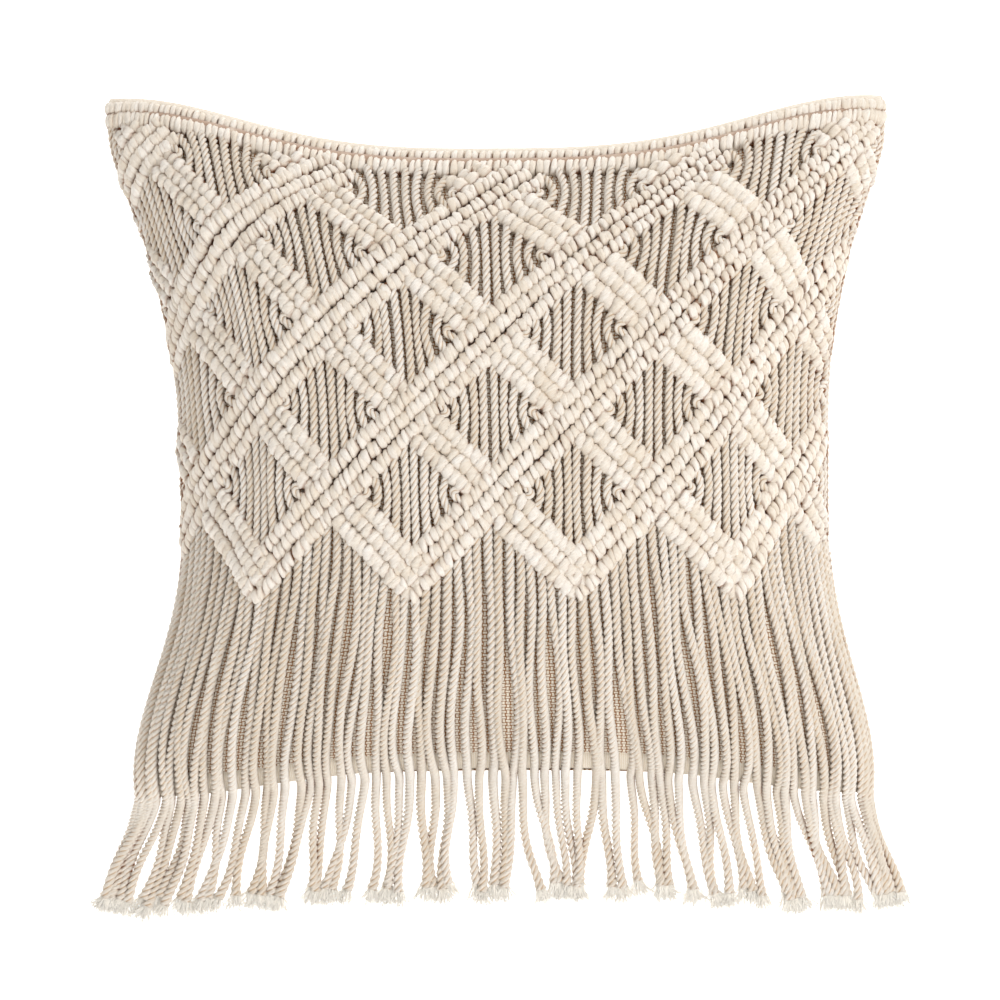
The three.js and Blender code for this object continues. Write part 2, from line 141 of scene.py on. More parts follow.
def backBase(s, t, inset=0.0, half=cushion["seamHalf"], depth=cushion["depth"], lift=0.0, zipRoom=0.0):
    x, y = planPoint(s, t)
    r = cushion["restRounding"]
    free = seamZ(s, t) - half - depth * crown(s, t) - lift
    z = np.where(free <= -r, 0, np.where(free >= r, free, (free + r) ** 2 / (4 * r))) + lift
    point = np.stack([x - inset * (2 * s - 1), y - inset * (2 * t - 1), z], -1)
    if zipFrame is None:
        return point
    fromZip = point - zipFrame["origin"]
    u = fromZip @ zipFrame["across"]
    n = fromZip @ zipFrame["out"] + zipRoom
    blend = zipPlace["blend"]
    endFade = smoothStep((zipPlace["length"] / 2 + 2 * blend - np.abs(point[..., 0])) / blend)
    sideFade = smoothStep((zipPlace["flatHalf"] + blend - np.abs(u)) / blend)
    return point - zipFrame["out"] * (n * endFade * sideFade)[..., None]


def lastWhere(test, shape):
    # the largest t in the lower half of the outline for which a test still holds, by halving
    low, high = np.zeros(shape), np.full(shape, 0.5)
    for step in range(40):
        middle = (low + high) / 2
        holds = test(middle)
        low, high = np.where(holds, middle, low), np.where(holds, high, middle)
    return (low + high) / 2


zipFrame = None


def makeZipFrame():
    t = float(lastWhere(lambda part: planPoint(0.5, part)[1] < zipPlace["y"], ()))
    here, above = backBase(np.array([0.5, 0.5]), np.array([t, t - 0.01]))
    across = (above - here) * (0, 1, 1)
    across /= np.linalg.norm(across)
    return {"origin": np.array([0, here[1], here[2]]), "across": across, "out": np.cross((1, 0, 0), across)}


zipFrame = makeZipFrame()


def tAtZip(s, u):
    # t where the back lies a given distance across from the middle of the zip
    return lastWhere(lambda t: (backBase(s, t) - zipFrame["origin"]) @ zipFrame["across"] > u, s.shape)


# Meshes from arrays

def newPiece(name, parts, material, body="cushion", replaced=()):
    clouds = [p["points"].reshape(-1, 3) for p in parts]
    points = np.concatenate(clouds)
    starts = np.cumsum([0] + [len(c) for c in clouds])
    corners = np.concatenate([p["corners"] + k for p, k in zip(parts, starts)])
    sizes = np.concatenate([p["sizes"] for p in parts])
    mesh = bpy.data.meshes.new(name)
    mesh.vertices.add(len(points))
    mesh.vertices.foreach_set("co", (points / 1000).astype(np.float32).ravel())
    mesh.loops.add(len(corners))
    mesh.loops.foreach_set("vertex_index", corners.astype(np.int32))
    mesh.polygons.add(len(sizes))
    mesh.polygons.foreach_set("loop_start", (np.cumsum(sizes) - sizes).astype(np.int32))
    mesh.polygons.foreach_set("use_smooth", np.full(len(sizes), True))
    mesh.update(calc_edges=True)
    for key in parts[0]["values"]:
        values = np.concatenate([p["values"][key].reshape(len(c), -1) for p, c in zip(parts, clouds)])
        kind, field = ("FLOAT_VECTOR", "vector") if values.shape[1] == 3 else ("FLOAT", "value")
        layer = mesh.attributes.new(key, kind, "POINT")
        layer.data.foreach_set(field, values.astype(np.float32).ravel())
    mesh.validate()
    piece = addObject(name, mesh)
    mesh.materials.append(material)
    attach(piece, body)
    if replaced:
        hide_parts(*replaced)
    return piece


def unit(v):
    return v / np.maximum(np.linalg.norm(v, axis=-1, keepdims=True), 1e-9)


def lengthAlong(lines):
    steps = np.linalg.norm(np.diff(lines, axis=1), axis=-1)
    return np.concatenate([np.zeros((len(lines), 1)), steps.cumsum(1)], 1)


# Where the fibre pattern sits on a cord: wrapped round a core, and shifted from one cord to the next
yarnStyle = {"radius": 2.8, "shift": 53}


# Many tubes at once. centres and reference are (tubes, points, 3) arrays, and the reference
# direction is one axis of the section. turn is the section's angle at each point.
def sweep(centres, reference, radiusA, radiusB, shape, turn=None, tone=None, depth=None, lines=1.0):
    tubes, count, _ = centres.shape
    sides = len(shape)
    tangent = unit(np.gradient(centres, axis=1))
    axisA = unit(reference - tangent * (reference * tangent).sum(-1, keepdims=True))
    axisB = np.cross(tangent, axisA)
    step = np.arange(sides) * 2 * math.pi / sides
    turn = np.zeros((tubes, count)) if turn is None else turn
    angle = turn[..., None] + step
    radiusA, radiusB = (np.broadcast_to(r, turn.shape)[..., None, None] for r in (radiusA, radiusB))
    offset = axisA[:, :, None] * (np.cos(angle) * shape)[..., None] * radiusA
    offset = offset + axisB[:, :, None] * (np.sin(angle) * shape)[..., None] * radiusB
    points = centres[:, :, None] + offset
    index = np.arange(tubes * count * sides).reshape(tubes, count, sides)
    right = np.roll(index, -1, 2)
    quads = np.stack([index[:, :-1], right[:, :-1], right[:, 1:], index[:, 1:]], -1).reshape(-1)
    caps = np.concatenate([index[:, 0, ::-1].reshape(-1), index[:, -1].reshape(-1)])
    tone = (np.zeros(tubes) if tone is None else tone)[:, None, None]
    full = (tubes, count, sides)
    yarn = np.stack([
        np.broadcast_to(lengthAlong(centres)[..., None] + yarnStyle["shift"] * tone, full),
        np.broadcast_to(yarnStyle["radius"] * np.cos(step), full),
        np.broadcast_to(yarnStyle["radius"] * np.sin(step), full),
    ], -1)
    # painted shade: the depth function gives how dark each point of the tube is painted
    paintedShade = np.zeros(full) if depth is None else np.broadcast_to(depth(angle, count), full)
    # painted shade in the grooves between the plies, most where the section dips lowest
    plyGrooveShade = np.broadcast_to(lines * (shape.max() - shape) / max(1e-6, np.ptp(shape)), full)
    values = {
        "yarn": yarn,
        "tone": np.broadcast_to(tone, full).copy(),
        "paintedShade": np.clip(paintedShade, 0, 1),
        "plyGrooveShade": plyGrooveShade.copy(),
    }
    sizes = np.concatenate([np.full(tubes * (count - 1) * sides, 4), np.full(2 * tubes, sides)])
    return {"points": points, "corners": np.concatenate([quads, caps]), "sizes": sizes, "values": values}


def gridQuads(index, flip):
    a, b, c, d = index[:-1, :-1], index[1:, :-1], index[1:, 1:], index[:-1, 1:]
    return np.stack([a, d, c, b] if flip else [a, b, c, d], -1).reshape(-1, 4)


def gridPart(points, values, flip=False):
    rows, columns, _ = points.shape
    quads = gridQuads(np.arange(rows * columns).reshape(rows, columns), flip)
    return {"points": points, "corners": quads.ravel(), "sizes": np.full(len(quads), 4), "values": values}


# Three plies laid together: distance from the middle of the cord at each angle, 1 at a ply's crown
def plySection(sides=12, plyRadius=0.52, plyOffset=0.48):
    angle = np.arange(sides) * 2 * math.pi / sides
    fromPly = (angle + math.pi / 3) % (2 * math.pi / 3) - math.pi / 3
    across = plyOffset * np.sin(fromPly)
    return plyOffset * np.cos(fromPly) + np.sqrt(np.maximum(0, plyRadius ** 2 - across ** 2))


def meshPoints(mesh):
    points = np.empty(len(mesh.vertices) * 3, np.float32)
    mesh.vertices.foreach_get("co", points)
    return points.reshape(-1, 3).astype(float) * 1000


# Cloth simulation of the filled cover, as a pillow of two grids that share their seam

swelling = {
    "steps": 54,
    "pressure": 4.0,
    "frames": 20,
    "tension": 30,
    "bending": 2,
    "quality": 5,
    "startShare": 0.985,
    "cap": 5.0,
    "smoothing": 2,
    "seamHold": 0.12,
}


def crowdedShares(count):
    return 0.5 - 0.5 * np.cos(math.pi * np.linspace(0, 1, count + 1))


def swellCover():
    n = swelling["steps"]
    share = crowdedShares(n)
    s, t = np.meshgrid(share, share, indexing="ij")
    front, back = frontBase(s, t), backBase(s, t)
    rim = (s == 0) | (s == 1) | (t == 0) | (t == 1)
    front[rim] = (front[rim] + back[rim]) / 2
    index = np.arange((n + 1) ** 2).reshape(n + 1, n + 1)
    backIndex = np.full_like(index, -1)
    backIndex[rim] = index[rim]
    backIndex[~rim] = index.size + np.arange((~rim).sum())
    points = np.concatenate([front.reshape(-1, 3), back[~rim]])
    centre = points.mean(0)
    start = centre + (points - centre) * swelling["startShare"]
    faces = np.concatenate([gridQuads(index, False), gridQuads(backIndex, True)])
    mesh = bpy.data.meshes.new("swelling")
    mesh.from_pydata((start / 1000).tolist(), [], faces.tolist())
    body = addObject("swelling", mesh)
    cloth = body.modifiers.new("cloth", "CLOTH")
    cloth.settings.use_pressure = True
    cloth.settings.uniform_pressure_force = swelling["pressure"]
    cloth.settings.tension_stiffness = swelling["tension"]
    cloth.settings.bending_stiffness = swelling["bending"]
    cloth.settings.quality = swelling["quality"]
    cloth.settings.effector_weights.gravity = 0
    for number in range(1, swelling["frames"] + 1):
        bpy.context.scene.frame_set(number)
    shape = body.evaluated_get(bpy.context.evaluated_depsgraph_get()).to_mesh()
    moved = meshPoints(shape) - points
    bpy.data.objects.remove(body)
    bpy.context.scene.frame_set(1)
    moved -= moved.mean(0)
    size = np.linalg.norm(moved, axis=1, keepdims=True)
    print("cover swelled, most", round(float(size.max()), 1), "mm, median", round(float(np.median(size)), 1))
    moved *= np.minimum(1, swelling["cap"] / np.maximum(size, 1e-6))
    fields = [moved[index], moved[backIndex]]
    fromSeam = smoothStep(np.minimum(np.minimum(s, 1 - s), np.minimum(t, 1 - t)) / swelling["seamHold"])
    for k, field in enumerate(fields):
        field[..., :2] *= fromSeam[..., None]
        for again in range(swelling["smoothing"]):
            inner = field[1:-1, 1:-1]
            around = field[2:, 1:-1] + field[:-2, 1:-1] + field[1:-1, 2:] + field[1:-1, :-2]
            field[1:-1, 1:-1] = 0.5 * inner + 0.125 * around
    return fields


swell = swellCover()
print("cover shape ready")


# The cover is drawn in a little, so that the knots and not the cloth reach its outline
drawnIn = {"left": 5.0, "right": 2.0, "top": 5.0, "bottom": 1.0, "leftFoot": -2.5, "footEnds": 0.42}


def drawIn(s, t):
    left = lerp(drawnIn["leftFoot"], drawnIn["left"], smoothStep(t / drawnIn["footEnds"]))
    x = np.maximum(0, 1 - 2 * s) * left - np.maximum(0, 2 * s - 1) * drawnIn["right"]
    y = np.maximum(0, 1 - 2 * t) * drawnIn["bottom"] - np.maximum(0, 2 * t - 1) * drawnIn["top"]
    return np.stack([x, y, np.zeros_like(x)], -1)


def swellAt(side, s, t):
    field = swell[side]
    n = field.shape[0] - 1
    i = np.arccos(np.clip(1 - 2 * s, -1, 1)) / math.pi * n
    j = np.arccos(np.clip(1 - 2 * t, -1, 1)) / math.pi * n
    a, b = np.clip(i.astype(int), 0, n - 1), np.clip(j.astype(int), 0, n - 1)
    p, q = (i - a)[..., None], (j - b)[..., None]
    near = field[a, b] * (1 - q) + field[a, b + 1] * q
    far = field[a + 1, b] * (1 - q) + field[a + 1, b + 1] * q
    return near * (1 - p) + far * p + drawIn(s, t)


def frontCloth(s, t, **layer):
    return frontBase(s, t, **layer) + swellAt(0, s, t)


def backCloth(s, t, **layer):
    point = backBase(s, t, **layer)
    fromZip = np.abs((point - zipFrame["origin"]) @ zipFrame["across"])
    beside = smoothStep((fromZip - zipPlace["flatHalf"]) / (2 * zipPlace["blend"]))
    fromEnds = np.abs(point[..., 0]) - zipPlace["length"] / 2 - zipPlace["flatHalf"]
    beyond = smoothStep(fromEnds / zipPlace["endBlend"])
    point = point + swellAt(1, s, t) * np.maximum(beside, beyond)[..., None]
    point[..., 2] = np.maximum(point[..., 2], layer.get("lift", 0.0))
    return point


# Flat pattern of the knotted front: u across from the middle, v down from the top seam
halfFlat = cushion["flatWidth"] / 2

def clothShares(halfWidth, steps=240):
    part = np.linspace(0, 1, steps + 1)
    length = np.hypot(halfWidth / steps, cushion["rise"] * np.diff(profile(part))).cumsum()
    return np.concatenate([[0], length / length[-1]]), part


acrossShares = clothShares((planPoint(1, 0.5)[0] - planPoint(0, 0.5)[0]) / 2)
downShares = clothShares((planPoint(0.5, 1)[1] - planPoint(0.5, 0)[1]) / 2)


def planShare(shares, clothShare):
    return np.sign(clothShare) * np.interp(np.minimum(1, np.abs(clothShare)), *shares)


def clothAt(u, v):
    s = 0.5 + 0.5 * planShare(acrossShares, u / halfFlat)
    t = 0.5 - 0.5 * planShare(downShares, v / (cushion["flatHeight"] / 2) - 1)
    return frontCloth(s, t)


# Points at a height above the base cloth, and the way out of the cloth there
def onFront(u, v, height, reach=2.0):
    u, v, height = np.broadcast_arrays(np.asarray(u, float), np.asarray(v, float), np.asarray(height, float))
    halfU, halfV = halfFlat - reach, cushion["flatHeight"] - reach
    uIn, vIn = np.clip(u, -halfU, halfU), np.clip(v, reach, halfV)
    alongU = clothAt(uIn + reach, vIn) - clothAt(uIn - reach, vIn)
    alongV = clothAt(uIn, vIn + reach) - clothAt(uIn, vIn - reach)
    out = unit(unit(np.cross(alongV, alongU)) + np.array([0, 0, cushion["lift"]]))
    point = clothAt(u, v) + out * height[..., None]
    return point, out


# Materials

def addNode(tree, kind, links=None, **settings):
    node = tree.nodes.new("ShaderNode" + kind)
    for key, value in settings.items():
        setattr(node, key, value)
    for key, value in (links or {}).items():
        if isinstance(value, bpy.types.NodeSocket):
            tree.links.new(value, node.inputs[key])
        else:
            node.inputs[key].default_value = value
    return node


def newMaterial(name):
    material = bpy.data.materials.new(name)
    material.use_nodes = True
    tree = material.node_tree
    tree.nodes.clear()
    return material, tree


def finishMaterial(tree, links):
    shader = addNode(tree, "BsdfPrincipled", links)
    addNode(tree, "OutputMaterial", {"Surface": shader.outputs["BSDF"]})


def stored(tree, name, output="Fac"):
    return addNode(tree, "Attribute", attribute_name=name).outputs[output]


def noise(tree, scale, detail, place=None, roughness=0.5):
    place = place or addNode(tree, "TexCoord").outputs["Object"]
    links = {"Vector": place, "Scale": scale, "Detail": detail, "Roughness": roughness}
    return addNode(tree, "TexNoise", links).outputs["Fac"]


def combine(tree, first, second, operation):
    return addNode(tree, "Math", {0: first, 1: second}, operation=operation).outputs[0]


def remap(tree, value, low, high, toLow=0.0, toHigh=1.0):
    links = {"Value": value, "From Min": low, "From Max": high, "To Min": toLow, "To Max": toHigh}
    return addNode(tree, "MapRange", links).outputs[0]


def mixColours(tree, share, first, second):
    # each colour is a hex code or the output of a node
    first, second = (srgb(c) if isinstance(c, str) else c for c in (first, second))
    return addNode(tree, "Mix", {0: share, 6: first, 7: second}, data_type="RGBA").outputs[2]


def bumpFrom(tree, height, strength, distance):
    links = {"Height": height, "Strength": strength, "Distance": distance}
    return addNode(tree, "Bump", links).outputs["Normal"]


# Undyed cotton, three soft plies laid together and hardly ever shiny. Fibres run along each ply,
# the crowns are cream, and painted shade turns the crevices where cords press together and the
# grooves between the plies warm brown. The fibres are drawn 0.35 mm wide, coarser than real ones,
# which would be too fine to show.
cottonFinish = {
    "light": "#f6f1e9", "dark": "#e8decf", "creviceShade": "#8a5324", "plyGrooveShade": "#b3874c",
    "fibreSize": 0.35, "fibreStretch": 0.22, "patchSize": 14, "grooveMost": 0.85, "roughness": 0.92,
}


def cottonCordMaterial():
    f = cottonFinish
    material, tree = newMaterial("cotton macrame cord")
    links = {"Vector": stored(tree, "yarn", "Vector"), "Scale": (f["fibreStretch"], 1, 1)}
    stretched = addNode(tree, "Mapping", links).outputs["Vector"]
    fibre = noise(tree, 1 / f["fibreSize"], 4, stretched, 0.65)
    patch = noise(tree, 1000 / f["patchSize"], 3)
    shade = remap(tree, combine(tree, stored(tree, "tone"), patch, "ADD"), 0.4, 1.5)
    cream = mixColours(tree, shade, f["light"], f["dark"])
    # painted shade along the grooves between the plies, together with darker streaks along the fibres
    narrow = combine(tree, stored(tree, "plyGrooveShade"), 3.0, "POWER")
    grooved = combine(tree, narrow, f["grooveMost"], "MULTIPLY")
    lined = combine(tree, grooved, remap(tree, fibre, 0.3, 0.6, 0.35, 0.0), "MAXIMUM")
    plied = mixColours(tree, lined, cream, f["plyGrooveShade"])
    # painted shade: warm brown mixed in where the knots lie in crevices
    pressed = remap(tree, stored(tree, "paintedShade"), 0.1, 0.6)
    finishMaterial(tree, {
        "Base Color": mixColours(tree, pressed, plied, f["creviceShade"]), "Roughness": f["roughness"],
        "Normal": bumpFrom(tree, fibre, 0.6, 0.0005),
        "Sheen Weight": 0.25, "Sheen Roughness": 0.5, "Specular IOR Level": 0.2,
    })
    return material


# The combed-out ends of the cords: loose fibres, painted paler than the cord to stand in for the light that
# passes through them
frayFinish = {"light": "#fbf6ec", "dark": "#eee2d0", "patchScale": 300, "roughness": 0.95}


def frayMaterial():
    f = frayFinish
    material, tree = newMaterial("combed cotton fibre")
    patch = noise(tree, f["patchScale"], 2)
    mixed = combine(tree, stored(tree, "tone"), patch, "MULTIPLY")
    finishMaterial(tree, {
        "Base Color": mixColours(tree, mixed, f["light"], f["dark"]), "Roughness": f["roughness"],
        "Sheen Weight": 0.6, "Specular IOR Level": 0.1,
    })
    return material


# Plain weave of a slubby cotton and flax mix, with painted shade between the threads and where knots lie over
# it
clothFinish = {
    "thread": "#f6ecdb", "shadow": "#966637", "slub": "#faf4e8",
    "spacing": 2.4, "roughness": 0.95,
}


def weaveMaterial(name, finish):
    material, tree = newMaterial(name)
    spacing = finish["spacing"]
    flat = stored(tree, "flat", "Vector")
    wobble = addNode(tree, "TexNoise", {"Vector": flat, "Scale": 0.25, "Detail": 2})
    links = {0: wobble.outputs["Color"], 1: (0.8, 0.8, 0.8), 2: flat}
    loose = addNode(tree, "VectorMath", links, operation="MULTIPLY_ADD").outputs[0]
    waves = {"Vector": loose, "Scale": math.pi / (10 * spacing)}
    warp, weft = (addNode(tree, "TexWave", waves, bands_direction=way).outputs["Fac"] for way in "XY")
    squares = {"Vector": loose, "Scale": 1 / spacing, "Color1": (1, 1, 1, 1), "Color2": (0, 0, 0, 1)}
    cell = addNode(tree, "TexChecker", squares).outputs["Fac"]
    over = addNode(tree, "Mix", {0: cell, 2: warp, 3: weft}).outputs[0]
    height = combine(tree, over, noise(tree, 1.4, 4, flat), "MULTIPLY")
    slub = remap(tree, wobble.outputs["Fac"], 0.45, 0.75)
    thread = mixColours(tree, slub, finish["thread"], finish["slub"])
    colour = mixColours(tree, remap(tree, height, 0.08, 0.34), finish["shadow"], thread)
    # painted shade where the knots lie over the cloth
    shadeUnderKnots = combine(tree, stored(tree, "paintedShade"), 0.8, "MULTIPLY")
    finishMaterial(tree, {
        "Base Color": mixColours(tree, shadeUnderKnots, colour, finish["shadow"]), "Roughness": finish["roughness"],
        "Normal": bumpFrom(tree, height, 0.8, 0.0006), "Sheen Weight": 0.15, "Specular IOR Level": 0.2,
    })
    return material


# The same cloth where it is turned and pressed: flatter and paler, with a finer weave showing
hemFinish = {"thread": "#f8f0e3", "shadow": "#dcc9ac", "slub": "#fbf6ec", "spacing": 1.0, "roughness": 0.9}
# Thin plain calico of the pad's case, its threads drawn coarser than real ones, which would not show
calicoFinish = {"thread": "#f2ede2", "shadow": "#cfc6b4", "slub": "#f7f3ea", "spacing": 1.0, "roughness": 0.95}
# Tape of the zip, tight and flat
tapeFinish = {"thread": "#e8e0cf", "shadow": "#bdb29b", "slub": "#efe9dc", "spacing": 0.7, "roughness": 0.85}


# Carded polyester: soft pale tufts with shade between them, and no shine
def fillingMaterial():
    material, tree = newMaterial("carded polyester fibre fill")
    tuft = noise(tree, 90, 6, roughness=0.7)
    colour = mixColours(tree, tuft, "#e9e7e2", "#fbfaf7")
    finishMaterial(tree, {"Base Color": colour, "Roughness": 1.0, "Normal": bumpFrom(tree, tuft, 1.0, 0.003)})
    return material


# Moulded nylon coil, slightly glossy, its cream a little cloudy
def nylonMaterial():
    material, tree = newMaterial("moulded nylon")
    cloud = noise(tree, 400, 2)
    colour = mixColours(tree, cloud, "#e6dfcd", "#f0ebdd")
    finishMaterial(tree, {"Base Color": colour, "Roughness": 0.38, "IOR": 1.53})
    return material


# Tumbled nickel plate over a zinc casting: soft highlights with fine scuffs
def nickelMaterial():
    material, tree = newMaterial("tumbled nickel plate")
    scuff = noise(tree, 2500, 3)
    finishMaterial(tree, {
        "Base Color": srgb("#c3beb4"), "Metallic": 1.0, "Roughness": remap(tree, scuff, 0.0, 1.0, 0.22, 0.42),
        "Normal": bumpFrom(tree, scuff, 0.1, 0.0001),
    })
    return material


cotton = cottonCordMaterial()
fray = frayMaterial()
baseWeave = weaveMaterial("slubby basket weave cloth", clothFinish)
hemCloth = weaveMaterial("pressed hem of the base cloth", hemFinish)
calico = weaveMaterial("plain weave calico", calicoFinish)
tapeWeave = weaveMaterial("woven zip tape", tapeFinish)
fibreFill = fillingMaterial()
nylon = nylonMaterial()
nickel = nickelMaterial()
print("materials ready")

# Knotted rows. A hitch is a wrap of the cord over its carrier cord, from one side of the row to the other.

lattice = {
    "halfPeriod": 47, "row": 49, "firstRow": 53, "lastRow": 5, "lozengeHalf": 24.5,
    "bandHalf": 12.4, "headerDepth": 26, "edge": 8, "tipReach": 0.13,
    "tipDepth": 15, "lean": 7.5, "leanTop": 1.0, "leanStart": 40, "leanLength": 120,
    "bands": 7, "firstBand": -4, "barRows": 6, "barColumns": (-2, -1, 0, 1, 2), "barInside": 3.5,
    "lastStop": 0.62, "shortestBar": 0.1, "barTuck": 3.0,
}
# The long bands: tight pairs of wraps in three rows, leaning back a little
bandKnots = {
    "pitch": 4.2, "rowSpacing": 8.2, "rows": 3, "width": 8.3, "lean": 0.45, "thick": 2.1, "fat": 2.6,
    "base": 1.6, "rise": 5.6, "pairing": 0.08, "wander": 0.5, "unevenness": 1.6,
}
# The short bars: broad smooth wraps in three fat rows, higher than the bands
barKnots = {
    "pitch": 4.9, "rowSpacing": 8.5, "rows": 3, "width": 9.2, "lean": -0.34, "thick": 2.4, "fat": 3.5,
    "base": 1.6, "rise": 6.4, "pairing": 0.0, "wander": 0.35, "unevenness": 1.2,
}
# The two rows along the top edge: upright wraps
headerKnots = {
    "pitch": 3.5, "rowSpacing": 14.0, "rows": 1, "width": 14.2, "lean": 0.10, "thick": 2.0, "fat": 2.2,
    "base": 1.6, "rise": 5.0, "pairing": 0.06, "wander": 0.25, "first": 15.0, "unevenness": 1.0,
}
# What all wraps share: a little more than half a turn over the carrier, tucked down at a strip's ends
wrapStyle = {
    "points": 9, "over": 0.10, "swayLength": 17, "tuckLength": 9, "twist": 2.4, "plyGrooveShade": 0.55,
    # painted shade at the wrap's feet and flanks and along the carrier
    "footShade": 0.95, "flankShade": 0.55, "carrierShade": 0.6, "carrierTone": 0.9, "carrierEnd": 3.5,
}
wrapSection = plySection(plyRadius=0.60, plyOffset=0.40)


def wrapShade(angle, count):
    # painted shade, strongest at the two feet of the wrap and where it meets the next one
    share = np.linspace(0, 1, count)[None, :, None]
    foot = np.abs(2 * share - 1) ** 3
    flank = np.abs(np.cos(angle)) ** 4
    return wrapStyle["footShade"] * foot + wrapStyle["flankShade"] * flank


def rowAxes(start, end):
    start, end = np.array(start, float), np.array(end, float)
    length = np.linalg.norm(end - start)
    way = (end - start) / length
    return start, end, length, way, np.array([way[1], -way[0]])


def knottedRow(start, end, offset, knots, tuck=0.0):
    w = wrapStyle
    start, end, length, way, square = rowAxes(start, end)
    count = max(3, int(round(length / knots["pitch"])))
    number = np.arange(count)
    along = (number + 0.5) * length / count
    along = along + np.where(number % 2 == 0, 1, -1) * knots["pairing"] * knots["pitch"]
    uneven = knots["unevenness"]
    along = along + rng.normal(0, 0.05 * uneven * knots["pitch"], count)
    arc = np.linspace(-w["over"], 1 + w["over"], w["points"])[None] * math.pi
    halfWidth = knots["width"] / 2 - knots["thick"] * 0.5
    across = -np.cos(arc) * halfWidth * rng.normal(1, 0.03 * uneven, (count, 1))
    across = across + rng.normal(0, 0.25 * uneven, (count, 1))
    height = knots["base"] + knots["rise"] * np.sin(arc) * rng.normal(1, 0.05 * uneven, (count, 1))
    fromEnd = np.minimum(along, length - along)[:, None]
    height = height - tuck * (1 - smoothStep(fromEnd / w["tuckLength"]))
    lean = knots["lean"] * rng.normal(1, 0.2 * uneven, (count, 1))
    shift = offset + knots["wander"] * np.sin(along / w["swayLength"] + offset)[:, None]
    place = along[:, None] + lean * across
    u = start[0] + way[0] * place + square[0] * (across + shift)
    v = start[1] + way[1] * place + square[1] * (across + shift)
    centres, out = onFront(u, v, height)
    ahead, _ = onFront(u + way[0], v + way[1], height)
    fat = knots["fat"] * rng.normal(1, 0.05, (count, 1))
    thick = knots["thick"] * rng.normal(1, 0.05, (count, 1))
    turn = rng.uniform(0, 2 * math.pi, (count, 1)) + np.linspace(0, w["twist"], w["points"])
    tone = rng.uniform(0, 1, count)
    return sweep(centres, unit(ahead - centres), fat, thick, wrapSection, turn, tone, wrapShade, w["plyGrooveShade"])


def carrierCord(start, end, offset, knots):
    # the cord inside a row, which closes the gaps between its wraps
    w = wrapStyle
    start, end, length, way, square = rowAxes(start, end)
    inside = w["carrierEnd"] / length
    part = np.linspace(inside, 1 - inside, max(4, int(length / 4)))
    u = lerp(start[0], end[0], part) + square[0] * offset
    v = lerp(start[1], end[1], part) + square[1] * offset
    centres, out = onFront(u, v, knots["base"] + 0.2 * knots["rise"])
    radii = 0.5 * knots["rise"], knots["width"] / 2 - 0.9
    tone = np.array([w["carrierTone"]])
    # an even painted shade all along the carrier, which lies down between the wraps
    return sweep(centres[None], out[None], *radii, np.ones(10), None, tone, lambda a, c: w["carrierShade"])


def knottedStrip(name, start, end, knots, replaced=(), tuck=0.0):
    parts = []
    for row in range(knots["rows"]):
        offset = (row - (knots["rows"] - 1) / 2) * knots["rowSpacing"]
        parts.append(knottedRow(start, end, offset, knots, tuck))
        parts.append(carrierCord(start, end, offset, knots))
    return newPiece(name, parts, cotton, replaced=replaced)


def patternLean(v):
    # the knotted sheet was sewn on a little askew: its lower rows sit further left
    leaning = smoothStep((v - lattice["leanStart"]) / lattice["leanLength"])
    return lattice["leanTop"] - lattice["lean"] * leaning


def toFlat(m, n):
    v = lattice["firstRow"] + n * lattice["row"]
    return (m * lattice["halfPeriod"] + float(patternLean(v)), v)


knotted = []
topStart = (lattice["headerDepth"] + 0.75 * lattice["bandHalf"] - lattice["firstRow"]) / lattice["row"]
sideReach = (halfFlat - lattice["edge"]) / lattice["halfPeriod"]


def addHeader():
    reach = halfFlat - 1
    for row in range(2):
        v = headerKnots["first"] + row * headerKnots["rowSpacing"]
        node = f"header_bar_{row + 1}"
        knotted.append(knottedStrip(f"headerRow{row + 1}", (-reach, v), (reach, v), headerKnots, [node]))


def addBands():
    for k in range(lattice["bands"]):
        number = lattice["firstBand"] + 2 * k
        left = max(-sideReach, number - lattice["lastRow"] - lattice["tipReach"])
        right = min(sideReach, number - topStart)
        ends = toFlat(left, number - left), toFlat(right, number - right)
        knotted.append(knottedStrip(f"band{k + 1}", *ends, bandKnots, [f"band_{k + 1}"]))


def addBars():
    slant = math.hypot(lattice["halfPeriod"], lattice["row"])
    reach = 0.5 - (lattice["bandHalf"] - lattice["barInside"]) / slant
    for row in range(lattice["barRows"]):
        n = row - 0.5
        for k in lattice["barColumns"]:
            m = 2 * k + (-0.5 if row % 2 == 0 else 0.5)
            start = max(-reach, topStart - n)
            stop = lattice["lastStop"] if row == lattice["barRows"] - 1 else reach
            if abs(m) > 4:  # the side edge cuts these short
                start = max(start, -sideReach - m)
                stop = min(stop, sideReach - m)
            if stop - start < lattice["shortestBar"]:
                continue
            ends = toFlat(m + start, n + start), toFlat(m + stop, n + stop)
            node = f"bar_{row + 1}_{k + 3}"
            replaced = [node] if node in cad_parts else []
            name = f"bar{row + 1}x{k + 3}"
            knotted.append(knottedStrip(name, *ends, barKnots, replaced, lattice["barTuck"]))


addHeader()
addBands()
addBars()
print("knotted rows ready:", len(knotted))

# Upright cords in the lozenges and at the two side edges

strandStyle = {
    "spacing": 6.1, "loosening": 0.17, "radius": 2.5, "height": 4.4, "lay": 12.5, "layShift": 40,
    "waist": 10.0, "under": 7.0, "top": 33, "shortest": 10, "side": 3, "upperUntil": 125,
    "lengthGroups": ((0, 30), (30, 50), (50, 70)),
}
# Two loose cords down each side edge
selvedge = {"from": (214.0, 219.5), "span": (14, 300), "points": 300, "radius": 2.6, "height": 3.2}
cordSection = plySection()


def cordDepth(angle, count):
    # the side that faces the base cloth is in the dark
    return smoothStep((0.35 - np.cos(angle)) / 1.1) * 0.95


def cordsAlong(centres, out, radius, tone):
    turn = 2 * math.pi * lengthAlong(centres) / strandStyle["lay"] + strandStyle["layShift"] * tone[:, None]
    return sweep(centres, out, radius, radius, cordSection, turn, tone, cordDepth)


